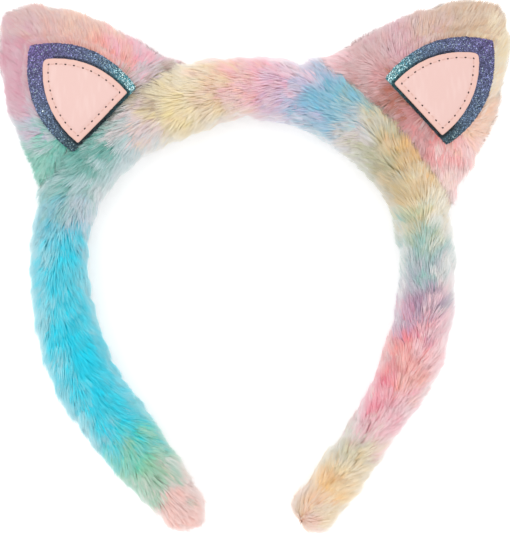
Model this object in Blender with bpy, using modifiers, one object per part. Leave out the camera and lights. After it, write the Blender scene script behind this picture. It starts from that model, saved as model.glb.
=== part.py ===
"""A plush cat-ears headband, lying on its back as it does on a table.

The hoop is a fur-covered band that opens towards -Y. Two padded fur ears are sewn over its outer
shoulder, and each ear carries a glitter patch with a stitched leatherette panel on top of it.
Units are metres, +Z is up, and the headband's front faces up.
"""

import math
import random
from collections import namedtuple

import bmesh
import bpy
from mathutils import Vector

# The hoop, measured along the middle of the band
HOOP_WIDTH = 0.146
HOOP_HEIGHT = 0.1665
BAND_WIDTH = 0.024
BAND_DEPTH = 0.028
BAND_ROUNDNESS = 2.2
TIP_ROUND = 0.0095
# How far the middle of a section lies above the floor, as a share of its round height.
# Under 1 the band is pressed flat.
SOLE_LIFT = 0.86
# Where the rings of a tip's round end lie, in degrees around it, and how far locks still rise there
TIP_TURNS = (6, 26, 45, 60, 74)
TIP_LOCKS = 0.5

# Fur locks, which lie over each other like shingles
LOCK_LENGTH = 0.015
LOCK_HEIGHT = 0.0017
LOCKS_AROUND_BAND = 10
LOCKS_AROUND_EAR = 13
# How unevenly locks and the valleys between them rise, as shares of a lock's height
LOCK_RAGGED = 0.22
VALLEY_RAGGED = 0.12

# Ears. Their height runs from the band's outer edge, and their lap reaches back over the band's shoulder.
EAR_FROM_CROWN = 0.0555
EAR_HEIGHT = 0.0570
EAR_WIDTH = 0.0700
EAR_LAP = 0.0050
EAR_FRONT = 0.0125
EAR_BACK = 0.0090
EAR_ROUNDNESS = 2.5
# Where an ear's middle lies in the band's depth, counted from the back
EAR_SEAT = 0.55

# Patches on the ears, all cut from one pattern each. The panel's hem ends in sharp corners, and only its
# point is round.
GLITTER_HEIGHT = 0.0412
GLITTER_WIDTH = 0.0352
GLITTER_BULGE = 0.0070
GLITTER_CORNER = 0.0010
GLITTER_THICKNESS = 0.0014
PANEL_HEIGHT = 0.0324
PANEL_WIDTH = 0.0274
PANEL_BULGE = 0.0046
PANEL_HEM_CORNER = 0.0005
PANEL_POINT_CORNER = 0.0022
PANEL_THICKNESS = 0.0013
PANEL_ABOVE_HEM = 0.0010
FUR_CLEAR_OF_PATCH = 0.0070
# Over how much of the patch's half size the locks then rise to their full height
FUR_RISES_OVER = 0.5
# How high the middle of the cleared fur lies on the patch
PATCH_MIDDLE = 0.42
# The rings of a patch, as shares of its outline, and the steps along its hem and its bowed sides
PATCH_RINGS = (1.0, 0.72, 0.44)
HEM_STEPS = 7
SIDE_STEPS = 9
CORNER_STEPS = (0.0, 0.33, 0.67, 1.0)

# Room between pieces that touch
FIT_GAP = 0.0003

SEED = 7
STEPS_PER_STATION = 24
# Corners turned by more than this are cut back and curved, and edges sharper than the other stay sharp
CORNER_FROM = math.radians(30)
SHARP_FROM = math.radians(50)

# One lock in rings along its length: where each ring lies, how high the lock stands there, and how far
# the ring runs ahead on a lock and in the valley beside it, which gives the locks their points
LockRing = namedtuple("LockRing", "share height lock_ahead valley_ahead")
LOCK_RINGS = (
    LockRing(0.00, -0.10, -0.06, 0.24),
    LockRing(0.32, 0.24, 0.02, 0.10),
    LockRing(0.66, 0.44, 0.14, 0.00),
    LockRing(0.92, 0.50, 0.24, -0.10),
)
LOCK_VALLEY = -0.50

# Across is a share of half the hoop's width, up of its height, and width and depth of the band's
Station = namedtuple("Station", "place across up width depth")
HOOP_STATIONS = (
    Station("left tip", -0.354, 0.000, 0.71, 0.78),
    Station("left ankle", -0.484, 0.075, 0.91, 0.90),
    Station("left shin", -0.655, 0.171, 1.04, 0.98),
    Station("left calf", -0.818, 0.267, 1.04, 1.02),
    Station("left knee", -0.930, 0.364, 1.05, 1.03),
    Station("left hip", -1.018, 0.555, 0.95, 1.00),
    Station("left shoulder", -0.952, 0.745, 0.94, 0.98),
    Station("left ear", -0.708, 0.876, 1.00, 0.96),
    Station("left crown", -0.386, 0.960, 1.12, 1.00),
    Station("crown", 0.000, 1.000, 1.00, 1.00),
    Station("right crown", 0.390, 0.968, 1.07, 1.00),
    Station("right ear", 0.703, 0.874, 1.06, 0.96),
    Station("right shoulder", 0.914, 0.740, 0.92, 0.96),
    Station("right hip", 0.977, 0.545, 0.90, 0.95),
    Station("right knee", 0.902, 0.364, 0.97, 0.95),
    Station("right calf", 0.788, 0.267, 0.83, 0.92),
    Station("right shin", 0.655, 0.171, 0.75, 0.88),
    Station("right ankle", 0.496, 0.074, 0.80, 0.84),
    Station("right tip", 0.358, -0.007, 0.77, 0.76),
)

# Rise is a share of the way from the lap's edge to the ear's point, half_width of half the ear's width,
# and front and back of its two depths
EarRow = namedtuple("EarRow", "place rise half_width front back")
EAR_ROWS = (
    EarRow("edge", 0.000, 1.07, 0.84, 0.80),
    EarRow("lap", 0.040, 1.10, 0.96, 0.93),
    EarRow("seam", 0.097, 1.08, 1.00, 1.00),
    EarRow("flare", 0.170, 1.01, 0.99, 1.00),
    EarRow("base", 0.268, 0.925, 0.97, 1.00),
    EarRow("cheek", 0.376, 0.855, 0.93, 1.00),
    EarRow("belly", 0.473, 0.785, 0.88, 0.98),
    EarRow("middle", 0.580, 0.700, 0.82, 0.95),
    EarRow("neck", 0.677, 0.605, 0.75, 0.90),
    EarRow("brow", 0.766, 0.510, 0.68, 0.83),
    EarRow("upper", 0.844, 0.410, 0.60, 0.74),
    EarRow("tip", 0.911, 0.310, 0.51, 0.64),
    EarRow("cap", 0.961, 0.205, 0.39, 0.50),
    EarRow("point", 0.990, 0.105, 0.24, 0.30),
)
# Above this share of its height an ear no longer follows the curve of the band
EAR_STRAIGHT_FROM = 0.30

# The two ears are hand-sewn and differ a little. The first four numbers are shares of the ear's distance
# from the crown, its height, width and lap. Lean turns it towards the crown, in degrees. Its patch starts
# above the lap's edge by patch_rise of the ear's height, is moved towards the crown by patch_shift of its
# width, and is turned by patch_turn degrees.
Ear = namedtuple("Ear", "side sign from_crown height width lap lean patch_rise patch_shift patch_turn")
EARS = (
    Ear("left", -1, 0.996, 0.939, 0.97, 1.00, -2.2, 0.010, 0.002, 3.5),
    Ear("right", 1, 1.022, 1.020, 1.00, 0.60, 1.4, 0.132, -0.046, 4.2),
)

FUR_COLOURS = {
    "band": (0.42, 0.78, 0.84),
    "left": (0.86, 0.62, 0.70),
    "right": (0.90, 0.72, 0.58),
}


def clear_scene():
    for obj in list(bpy.data.objects):
        bpy.data.objects.remove(obj)


def new_collection(name):
    made = bpy.data.collections.new(name)
    bpy.context.scene.collection.children.link(made)
    return made


def material(name, colour, roughness, metallic=0.0):
    made = bpy.data.materials.new(name)
    made.use_nodes = True
    shader = made.node_tree.nodes["Principled BSDF"]
    shader.inputs["Base Color"].default_value = (*colour, 1.0)
    shader.inputs["Roughness"].default_value = roughness
    shader.inputs["Metallic"].default_value = metallic
    return made


def object_from(name, bm, collection, finish):
    """A named, smooth-shaded object from a bmesh, in the collection and with the material given."""
    bmesh.ops.recalc_face_normals(bm, faces=bm.faces)
    mesh = bpy.data.meshes.new(name)
    bm.to_mesh(mesh)
    bm.free()
    obj = bpy.data.objects.new(name, mesh)
    collection.objects.link(obj)
    mesh.materials.append(finish)
    mesh.shade_smooth()
    mesh.set_sharp_from_angle(angle=SHARP_FROM)
    return obj


def smoothstep(low, high, value):
    share = min(max((value - low) / (high - low), 0.0), 1.0)
    return share * share * (3 - 2 * share)


def signed_power(value, power):
    return math.copysign(abs(value) ** power, value)


def catmull_rom(rows, place):
    """A smooth curve through rows of numbers, read at place, which runs from 0 to the last row."""
    index = min(int(place), len(rows) - 2)
    t = place - index
    before = rows[max(index - 1, 0)]
    start, end = rows[index], rows[index + 1]
    after = rows[min(index + 2, len(rows) - 1)]
    return tuple(
        0.5 * (2 * b + (c - a) * t + (2 * a - 5 * b + 4 * c - d) * t**2 + (3 * b - a - 3 * c + d) * t**3)
        for a, b, c, d in zip(before, start, end, after)
    )


class Hoop:
    """The middle line of the band, read by the distance along it from its left tip."""

    def __init__(self):
        rows = [
            (s.across * HOOP_WIDTH / 2, s.up * HOOP_HEIGHT, s.width * BAND_WIDTH, s.depth * BAND_DEPTH)
            for s in HOOP_STATIONS
        ]
        spans = (len(rows) - 1) * STEPS_PER_STATION
        self.samples = [catmull_rom(rows, i / STEPS_PER_STATION) for i in range(spans + 1)]
        self.reach = [0.0]
        for a, b in zip(self.samples, self.samples[1:]):
            self.reach.append(self.reach[-1] + math.hypot(b[0] - a[0], b[1] - a[1]))
        self.length = self.reach[-1]
        crown = [s.place for s in HOOP_STATIONS].index("crown")
        self.crown = self.reach[crown * STEPS_PER_STATION]

    def at(self, distance):
        """x, y, width and depth at a distance. Past a tip the line runs on straight."""
        inside = min(max(distance, 0.0), self.length)
        i = next((k for k, r in enumerate(self.reach[1:]) if r >= inside), len(self.reach) - 2)
        share = (inside - self.reach[i]) / (self.reach[i + 1] - self.reach[i])
        x, y, width, depth = (a + (b - a) * share for a, b in zip(self.samples[i], self.samples[i + 1]))
        along = Vector(self.samples[i + 1][:2]) - Vector(self.samples[i][:2])
        past = along.normalized() * (distance - inside)
        return x + past.x, y + past.y, width, depth

    def along(self, distance):
        """The direction of the line, towards the right tip."""
        step = LOCK_LENGTH / 4
        a, b = self.at(distance - step), self.at(distance + step)
        return Vector((b[0] - a[0], b[1] - a[1], 0)).normalized()

    def outwards(self, distance):
        along = self.along(distance)
        return Vector((-along.y, along.x, 0))

    def bend_radius(self, distance):
        """The radius of the hoop's curve at a distance, measured over a stretch as wide as an ear."""
        half = EAR_WIDTH / 2
        turn = self.along(distance - half).angle(self.along(distance + half))
        return 2 * half / turn


class Locks:
    """Rows of fur locks, set like bricks: how far each corner of a ring runs ahead and how high it is."""

    def __init__(self, columns, seed):
        self.columns = columns
        self.dice = random.Random(seed)

    def ring(self, row, ring, fade=1.0):
        """For each column, how far it runs ahead and how high it stands, as shares of a lock."""
        made = []
        for column in range(self.columns):
            in_valley = (column + row) % 2
            if in_valley:
                ahead, height = ring.valley_ahead, LOCK_VALLEY + VALLEY_RAGGED * self.dice.random()
            else:
                ahead, height = ring.lock_ahead, ring.height - LOCK_RAGGED * self.dice.random()
            made.append((ahead * fade, height * fade))
        return made


def band_rings(hoop):
    """The band's rings from tip to tip: each corner's distance, how far it is pulled in, its height."""
    locks = Locks(2 * LOCKS_AROUND_BAND, SEED)
    rings = []
    for side, half in ((-1, hoop.crown), (1, hoop.length - hoop.crown)):
        rows = round(half / LOCK_LENGTH)
        length = half / rows
        for row in range(rows):
            for ring in LOCK_RINGS:
                if (side, row, ring.share) == (1, 0, 0.0):
                    continue
                # The fur parts at the crown and flows towards both tips
                start = smoothstep(0.0, 1.0, row + ring.share)
                corners = locks.ring(row, ring)
                middle = hoop.crown + side * length * (row + ring.share)
                distances = [middle + side * ahead * start * length for ahead, _ in corners]
                rings.append((middle, distances, 1.0, [height for _, height in corners]))
        for turn in TIP_TURNS:
            angle = math.radians(turn)
            middle = hoop.crown + side * (half + TIP_ROUND * math.sin(angle))
            corners = locks.ring(rows, LOCK_RINGS[1], TIP_LOCKS * math.cos(angle))
            distances = [middle] * locks.columns
            rings.append((middle, distances, math.cos(angle), [height for _, height in corners]))
    return sorted(rings, key=lambda ring: ring[0])


def band_section(hoop, distances, pulled_in, heights, grow=0.0):
    """The corners of one ring, counted from the outer side over the front. Heights are shares of a lock's."""
    corners = []
    for column, (distance, height) in enumerate(zip(distances, heights)):
        x, y, width, depth = hoop.at(distance)
        round_height = depth / (1 + SOLE_LIFT)
        middle = SOLE_LIFT * round_height
        angle = 2 * math.pi * column / len(heights)
        out = width / 2 * signed_power(math.cos(angle), 2 / BAND_ROUNDNESS)
        up = round_height * signed_power(math.sin(angle), 2 / BAND_ROUNDNESS)
        scale = pulled_in * (1 + (height * LOCK_HEIGHT + grow) / math.hypot(out, up))
        z = max(middle + up * scale, middle * (1 - pulled_in) - grow)
        corners.append(Vector((x, y, z)) + hoop.outwards(distance) * out * scale)
    return corners


def loft(bm, sections, start, end):
    """Faces between sections with equal numbers of corners, closed at both ends by a fan to a point."""
    rings = [[bm.verts.new(corner) for corner in section] for section in sections]
    for ring, after in zip(rings, rings[1:]):
        for i in range(len(ring)):
            j = (i + 1) % len(ring)
            bm.faces.new((ring[i], ring[j], after[j], after[i]))
    for ring, point in ((rings[0], start), (rings[-1], end)):
        pole = bm.verts.new(point)
        for i in range(len(ring)):
            bm.faces.new((ring[i], ring[(i + 1) % len(ring)], pole))


def middle_of(points):
    return sum(points, Vector()) / len(points)


def make_band(hoop, collection):
    """The fur-covered band: one padded tube, pressed flat along its underside."""
    sections = [band_section(hoop, *ring[1:]) for ring in band_rings(hoop)]
    bm = bmesh.new()
    tips = []
    for distance, section in ((-TIP_ROUND, sections[0]), (hoop.length + TIP_ROUND, sections[-1])):
        x, y, _, _ = hoop.at(distance)
        tips.append(Vector((x, y, middle_of(section).z)))
    loft(bm, sections, *tips)
    return object_from("band", bm, collection, material("band_fur", FUR_COLOURS["band"], 0.9))


def make_band_channel(hoop, centre, collection):
    """The room that the band takes under an ear: its form with its locks at their highest, and the gap."""
    crests = [LOCK_RINGS[-1].height] * 2 * LOCKS_AROUND_BAND
    near = [middle for middle, _, _, _ in band_rings(hoop) if abs(middle - centre) < EAR_WIDTH]
    sections = [band_section(hoop, [middle] * len(crests), 1.0, crests, FIT_GAP) for middle in near]
    bm = bmesh.new()
    loft(bm, sections, middle_of(sections[0]), middle_of(sections[-1]))
    channel = object_from("band_channel", bm, collection, material("cutter", (0.5, 0.5, 0.5), 1.0))
    channel.hide_render = True
    channel.display_type = "WIRE"
    return channel


class EarForm:
    """Where the surface of one ear lies.

    Aside runs along the band towards the crown, and rise away from the band's outer edge.
    """

    def __init__(self, hoop, ear):
        self.ear = ear
        self.seat = hoop.crown + ear.sign * ear.from_crown * EAR_FROM_CROWN
        x, y, width, depth = hoop.at(self.seat)
        lean = math.radians(ear.lean * ear.sign)
        outwards = hoop.outwards(self.seat)
        self.origin = Vector((x, y, 0)) + outwards * width / 2
        self.up = Vector(
            (
                outwards.x * math.cos(lean) - outwards.y * math.sin(lean),
                outwards.x * math.sin(lean) + outwards.y * math.cos(lean),
                0,
            )
        )
        self.aside = Vector((-self.up.y, self.up.x, 0)) * ear.sign
        self.bend = hoop.bend_radius(self.seat)
        self.middle = EAR_SEAT * depth
        self.height = EAR_HEIGHT * ear.height
        self.lap = EAR_LAP * ear.lap
        self.rows = [(r.rise, r.half_width, r.front, r.back) for r in EAR_ROWS]

    def rise_of(self, share):
        return -self.lap + share * (self.height + self.lap)

    def row_at(self, rise):
        """Half width, front and back depth of the section at a rise in metres."""
        share = (rise + self.lap) / (self.height + self.lap)
        share = min(max(share, self.rows[0][0]), self.rows[-1][0])
        i = next(k for k in range(len(self.rows) - 1) if share <= self.rows[k + 1][0])
        low, high = self.rows[i][0], self.rows[i + 1][0]
        _, half_width, front, back = catmull_rom(self.rows, i + (share - low) / (high - low))
        return half_width * EAR_WIDTH / 2 * self.ear.width, front * EAR_FRONT, back * EAR_BACK

    def sag(self, aside, rise):
        """How far the ear's rows drop to the sides, because near the band they follow its curve."""
        return aside**2 / (2 * self.bend) * (1 - smoothstep(0.0, EAR_STRAIGHT_FROM, rise / self.height))

    def place(self, aside, rise, z):
        """A point in the hoop's frame."""
        return self.origin + self.aside * aside + self.up * (rise - self.sag(aside, rise)) + Vector((0, 0, z))

    def front_at(self, aside, rise):
        """The height of the front surface, without its locks."""
        half_width, front, _ = self.row_at(rise)
        inside = max(1 - abs(aside / half_width) ** EAR_ROUNDNESS, 0.0)
        return self.middle + front * inside ** (1 / EAR_ROUNDNESS)

    def on_patch(self, across, up):
        """Aside and rise of a point in the patch's own flat frame, whose origin is the middle of its hem."""
        turn = math.radians(self.ear.patch_turn)
        hem = self.rise_of(0) + self.ear.patch_rise * EAR_HEIGHT
        aside = self.ear.patch_shift * EAR_WIDTH + across * math.cos(turn) - up * math.sin(turn)
        flat = hem + across * math.sin(turn) + up * math.cos(turn)
        rise = flat
        for _ in range(6):
            rise = flat + self.sag(aside, rise)
        return aside, rise

    def section(self, row, ring, locks):
        """The corners of one ring of the ear, with its locks. They fade out where the patch lies."""
        rows = self.lock_rows()
        patch_aside, patch_rise = self.on_patch(0.0, GLITTER_HEIGHT * PATCH_MIDDLE)
        low, high = self.rows[0][0], self.rows[-1][0]
        corners = []
        for column, (ahead, height) in enumerate(locks.ring(row, ring)):
            share = low + (high - low) * (row + ring.share) / rows
            reach = (high - low) / rows * ahead
            fade = smoothstep(0.0, 1.0, row + ring.share) * smoothstep(0.0, 1.0, rows - row - ring.share)
            rise = self.rise_of(share + reach * fade)
            half_width, front, back = self.row_at(rise)
            angle = 2 * math.pi * column / locks.columns
            depth = front if math.sin(angle) > 0 else back
            aside = half_width * signed_power(math.cos(angle), 2 / EAR_ROUNDNESS)
            z = depth * signed_power(math.sin(angle), 2 / EAR_ROUNDNESS)
            normal = Vector((math.cos(angle) / half_width, math.sin(angle) / depth)).normalized()
            lift = height * LOCK_HEIGHT
            if math.sin(angle) > 0:
                across = (aside - patch_aside) / (GLITTER_WIDTH / 2)
                upwards = (rise - patch_rise) / (GLITTER_HEIGHT / 2)
                clear = 1 + FUR_CLEAR_OF_PATCH / GLITTER_WIDTH
                lift *= smoothstep(clear, clear + FUR_RISES_OVER, math.hypot(across, upwards))
            corners.append(self.place(aside + normal.x * lift, rise, self.middle + z + normal.y * lift))
        return corners

    def lock_rows(self):
        return round((self.height + self.lap) / LOCK_LENGTH)


def make_ear(hoop, form, name, collection, cutters):
    """A padded fur ear: a puffed form that stands on the band's outer shoulder and laps over its front."""
    locks = Locks(2 * LOCKS_AROUND_EAR, SEED + form.ear.sign)
    sections = [form.section(row, ring, locks) for row in range(form.lock_rows()) for ring in LOCK_RINGS]
    flat_ring = LockRing(0.0, 0.0, 0.0, 0.0)
    sections.append(form.section(form.lock_rows(), flat_ring, locks))
    bm = bmesh.new()
    loft(bm, sections, middle_of(sections[0]), form.place(0.0, form.height, form.middle))
    fur = material(name + "_fur", FUR_COLOURS[form.ear.side], 0.9)
    ear = object_from(name, bm, collection, fur)
    cut = ear.modifiers.new("band channel", "BOOLEAN")
    cut.operation = "DIFFERENCE"
    cut.object = make_band_channel(hoop, form.seat, cutters)
    return ear


def arch_outline(width, height, bulge, hem_corner, point_corner):
    """The outline of a patch, anticlockwise: a straight hem, two bowed sides and round corners."""
    hem = Vector((-width / 2, 0)), Vector((width / 2, 0))
    point = Vector((0, height))
    sharp = []
    for start, end, bow, steps in (
        (*hem, 0.0, HEM_STEPS),
        (hem[1], point, bulge, SIDE_STEPS),
        (point, hem[0], bulge, SIDE_STEPS),
    ):
        chord = end - start
        away = Vector((chord.y, -chord.x)).normalized()
        for i in range(steps):
            t = i / steps
            sharp.append(start + chord * t + away * bow * 4 * t * (1 - t))
    return rounded(sharp, hem_corner, point_corner, height / 2)


def rounded(points, low_radius, high_radius, high_from):
    """The outline with each sharp corner cut back by its radius and bridged by a short curve."""
    made = []
    for i, point in enumerate(points):
        before, after = points[i - 1], points[(i + 1) % len(points)]
        if (point - before).angle(after - point) < CORNER_FROM:
            made.append(point)
            continue
        radius = high_radius if point.y > high_from else low_radius
        start = point + (before - point).normalized() * radius
        end = point + (after - point).normalized() * radius
        for t in CORNER_STEPS:
            made.append(start * (1 - t) ** 2 + point * 2 * t * (1 - t) + end * t**2)
    return made


def make_patch(form, name, outline, above_hem, height_over_fur, thickness, collection, finish):
    """A curved sheet on the ear's front: rings of its outline, shrunk to its middle, with Solidify."""
    middle = sum(outline, Vector((0, 0))) / len(outline)
    bm = bmesh.new()

    def corner(point):
        aside, rise = form.on_patch(point.x, point.y + above_hem)
        return bm.verts.new(form.place(aside, rise, form.front_at(aside, rise) + height_over_fur))

    rings = [[corner(middle.lerp(p, share)) for p in outline] for share in PATCH_RINGS]
    for outer, inner in zip(rings, rings[1:]):
        for i in range(len(outer)):
            j = (i + 1) % len(outer)
            bm.faces.new((outer[i], outer[j], inner[j], inner[i]))
    pole = corner(middle)
    for i in range(len(rings[-1])):
        bm.faces.new((rings[-1][i], rings[-1][(i + 1) % len(rings[-1])], pole))
    bm.normal_update()
    if sum(face.normal.z for face in bm.faces) < 0:
        bmesh.ops.reverse_faces(bm, faces=bm.faces)
    mesh = bpy.data.meshes.new(name)
    bm.to_mesh(mesh)
    bm.free()
    obj = bpy.data.objects.new(name, mesh)
    collection.objects.link(obj)
    mesh.materials.append(finish)
    shell = obj.modifiers.new("sheet", "SOLIDIFY")
    shell.thickness = thickness
    shell.offset = 1.0
    return obj


def stand_on_floor(parts):
    """Hangs the parts on an empty, with the origin in the middle of their footprint on the floor."""
    frame = bpy.data.objects.new("headband_frame", None)
    bpy.context.scene.collection.objects.link(frame)
    bpy.context.view_layer.update()
    graph = bpy.context.evaluated_depsgraph_get()
    corners = [Vector(c) for part in parts for c in part.evaluated_get(graph).bound_box]
    lows = [min(c[k] for c in corners) for k in range(3)]
    highs = [max(c[k] for c in corners) for k in range(3)]
    for part in parts:
        part.parent = frame
    frame.location = (-(lows[0] + highs[0]) / 2, -(lows[1] + highs[1]) / 2, -lows[2])
    return frame


def main():
    clear_scene()
    parts = new_collection("cat_ears_headband")
    cutters = new_collection("cutters")
    cutters.hide_render = True
    hoop = Hoop()
    made = [make_band(hoop, parts)]
    glitter = material("glitter_film", (0.22, 0.22, 0.46), 0.35, 0.6)
    leatherette = material("pink_leatherette", (0.95, 0.70, 0.66), 0.45)
    for ear in EARS:
        form = EarForm(hoop, ear)
        made.append(make_ear(hoop, form, "ear_" + ear.side, parts, cutters))
        outline = arch_outline(GLITTER_WIDTH, GLITTER_HEIGHT, GLITTER_BULGE, GLITTER_CORNER, GLITTER_CORNER)
        name = "glitter_patch_" + ear.side
        made.append(make_patch(form, name, outline, 0.0, FIT_GAP, GLITTER_THICKNESS, parts, glitter))
        outline = arch_outline(PANEL_WIDTH, PANEL_HEIGHT, PANEL_BULGE, PANEL_HEM_CORNER, PANEL_POINT_CORNER)
        name = "inner_panel_" + ear.side
        over = 2 * FIT_GAP + GLITTER_THICKNESS
        panel = make_patch(form, name, outline, PANEL_ABOVE_HEM, over, PANEL_THICKNESS, parts, leatherette)
        made.append(panel)
    frame = stand_on_floor(made)
    for cutter in cutters.objects:
        cutter.parent = frame


main()
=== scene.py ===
# %% [markdown]
# # A plush cat-ears headband
#
# On the real object a springy hoop is wrapped in rainbow-dyed plush. Two small padded ears of the same
# plush stand on it, and each ear carries a patch of glitter film with a smaller panel of pale pink
# leatherette stitched on top. This lesson dresses the plain solids of that object: every lock of fur
# becomes real fibres, and each patch gets its own surface.
#
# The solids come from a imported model, which stays as it is. New pieces take their place from it, so
# nothing here has to be fitted by eye.

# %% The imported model
import math
from collections import namedtuple

import bpy
import numpy as np
from mathutils import Matrix, Vector
from mathutils.bvhtree import BVHTree
from mathutils.kdtree import KDTree


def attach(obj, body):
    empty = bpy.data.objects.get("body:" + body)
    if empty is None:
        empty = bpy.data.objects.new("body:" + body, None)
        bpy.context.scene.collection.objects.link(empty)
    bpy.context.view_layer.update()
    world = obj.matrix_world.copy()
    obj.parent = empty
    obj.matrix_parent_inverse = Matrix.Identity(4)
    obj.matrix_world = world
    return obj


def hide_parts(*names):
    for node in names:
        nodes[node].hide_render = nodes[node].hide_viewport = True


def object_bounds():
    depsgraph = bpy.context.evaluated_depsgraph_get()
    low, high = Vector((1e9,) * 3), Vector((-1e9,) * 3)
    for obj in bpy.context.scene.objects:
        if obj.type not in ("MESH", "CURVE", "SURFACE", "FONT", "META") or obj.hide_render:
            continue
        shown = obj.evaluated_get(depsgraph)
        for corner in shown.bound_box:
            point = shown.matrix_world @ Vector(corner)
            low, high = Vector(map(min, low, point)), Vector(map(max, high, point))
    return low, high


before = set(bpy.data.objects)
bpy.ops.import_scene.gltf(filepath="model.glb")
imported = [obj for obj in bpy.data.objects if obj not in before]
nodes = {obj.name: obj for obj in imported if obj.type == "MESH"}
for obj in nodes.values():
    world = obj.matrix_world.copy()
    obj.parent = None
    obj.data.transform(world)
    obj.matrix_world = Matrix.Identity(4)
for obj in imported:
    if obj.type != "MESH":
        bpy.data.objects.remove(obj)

cad_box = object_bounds()
size_mm = [round(1000 * (high - low)) for low, high in zip(*cad_box)]
print("solids:", sorted(nodes), "size in mm:", size_mm)

# %% [markdown]
# ## Camera, floor and light
#
# The headband lies on its back and is seen from straight above. A long lens 80 cm up shows it with
# little perspective, as in a product picture. The floor is white paper with a little light behind it,
# as on a light table, so that only a faint shadow stays. One large soft lamp above and a bright sky give
# light from all around, because pastel fur goes grey in hard light. A lamp from one side only would
# model the fur more, but it would also hide half of the dye in shade.

# %% Camera
VIEW_WIDTH = 0.205
CAMERA_HEIGHT = 0.8
CAMERA_ASIDE = 0.0004
SENSOR_WIDTH = 36.0

bpy.ops.object.select_all(action="DESELECT")
bpy.ops.object.camera_add(location=(CAMERA_ASIDE, 0.0, CAMERA_HEIGHT), rotation=(0.0, 0.0, 0.0))
camera = bpy.context.active_object
camera.name = "camera_above"
camera.data.sensor_fit = "HORIZONTAL"
camera.data.sensor_width = SENSOR_WIDTH
camera.data.lens = SENSOR_WIDTH * CAMERA_HEIGHT / VIEW_WIDTH
bpy.context.scene.camera = camera
print("lens in mm:", round(camera.data.lens, 1))

# %% Floor, sky and lamp
WHITE = (1.0, 1.0, 1.0)
FLOOR_SIZE = 6.0
FLOOR_COLOUR = (0.9, 0.9, 0.9)
FLOOR_GLOW = 0.3
SKY_STRENGTH = 1.12
LAMP_PLACE = (-0.25, 0.35, 1.1)
LAMP_SIZE = 0.9
LAMP_POWER = 2.0


def shader_of(finish):
    return finish.node_tree.nodes["Principled BSDF"]


def plain_material(name, colour, roughness):
    made = bpy.data.materials.new(name)
    made.use_nodes = True
    shader = shader_of(made)
    shader.inputs["Base Color"].default_value = (*colour, 1.0)
    shader.inputs["Roughness"].default_value = roughness
    return made


bpy.ops.object.select_all(action="DESELECT")
bpy.ops.mesh.primitive_plane_add(size=FLOOR_SIZE, location=(0.0, 0.0, 0.0))
floor = bpy.context.active_object
floor.name = "floor"
floor_finish = plain_material("floor_paper", FLOOR_COLOUR, roughness=0.9)
shader_of(floor_finish).inputs["Emission Color"].default_value = (*WHITE, 1.0)
shader_of(floor_finish).inputs["Emission Strength"].default_value = FLOOR_GLOW
floor.data.materials.append(floor_finish)

bpy.ops.object.light_add(type="AREA", location=LAMP_PLACE)
lamp = bpy.context.active_object
lamp.name = "softbox"
lamp.data.shape = "DISK"
lamp.data.size = LAMP_SIZE
lamp.data.energy = LAMP_POWER
lamp.rotation_euler = Vector(LAMP_PLACE).to_track_quat("Z", "Y").to_euler()

sky = bpy.data.worlds.new("studio")
sky.use_nodes = True
sky.node_tree.nodes["Background"].inputs["Color"].default_value = (*WHITE, 1.0)
sky.node_tree.nodes["Background"].inputs["Strength"].default_value = SKY_STRENGTH
bpy.context.scene.world = sky
bpy.context.scene.view_settings.view_transform = "Standard"

# %% [markdown]
# ## The dye
#
# The plush was dyed in soft blots that run into each other. They could be painted by hand on a map, but
# a short list of splashes is easier to read and to change: the name of a dye, the middle of the splash
# and how far it reaches. Each point of the fur mixes the splashes near it, the nearest most. The colours
# are written as the eye sees them, from 0 to 255, and turned into light values once.
# A few dark splashes are painted shade, where the fur lies in the creases and beside the patches.

# %% Dyes and splashes
DYES = {
    "cyan": (0, 212, 230),
    "jade": (82, 166, 150),
    "aqua": (168, 216, 224),
    "sky": (124, 194, 214),
    "frost": (212, 222, 228),
    "mist": (230, 228, 224),
    "steel": (148, 168, 178),
    "lilac": (206, 198, 222),
    "mauve": (208, 170, 200),
    "pink": (240, 180, 196),
    "blush": (244, 214, 218),
    "rose": (222, 112, 136),
    "coral": (236, 148, 146),
    "salmon": (240, 202, 194),
    "peach": (240, 206, 186),
    "apricot": (240, 196, 142),
    "cream": (240, 228, 202),
    "lemon": (238, 226, 168),
    "tan": (222, 198, 156),
    "sage": (180, 198, 168),
    "mint": (136, 206, 182),
    "teal": (118, 184, 176),
    "moss": (142, 164, 134),
    "plum": (164, 148, 170),
    # russet is a painted shade, used only in the creases and beside the patches
    "shade_russet": (178, 122, 108),
    "olive": (166, 160, 134),
    "dusk": (204, 160, 160),
    "shell": (216, 184, 182),
    "fawn": (212, 184, 160),
    "petal": (214, 172, 184),
    "violet": (112, 92, 150),
    "indigo": (104, 106, 148),
    "slate": (102, 122, 150),
    "lagoon": (74, 150, 158),
    "pine": (60, 88, 98),
}

# With a higher blur each splash has a crisper rim. Beyond all splashes the nearest still counts a little.
BLUR = 1.3
FAR_SHARE = 1e-9

# X and Y of the middle and the reach are in millimetres, in the headband's own frame
Splash = namedtuple("Splash", "dye x y reach")


def splashes_of(*rows):
    return tuple(Splash(*row) for row in rows)


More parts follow.
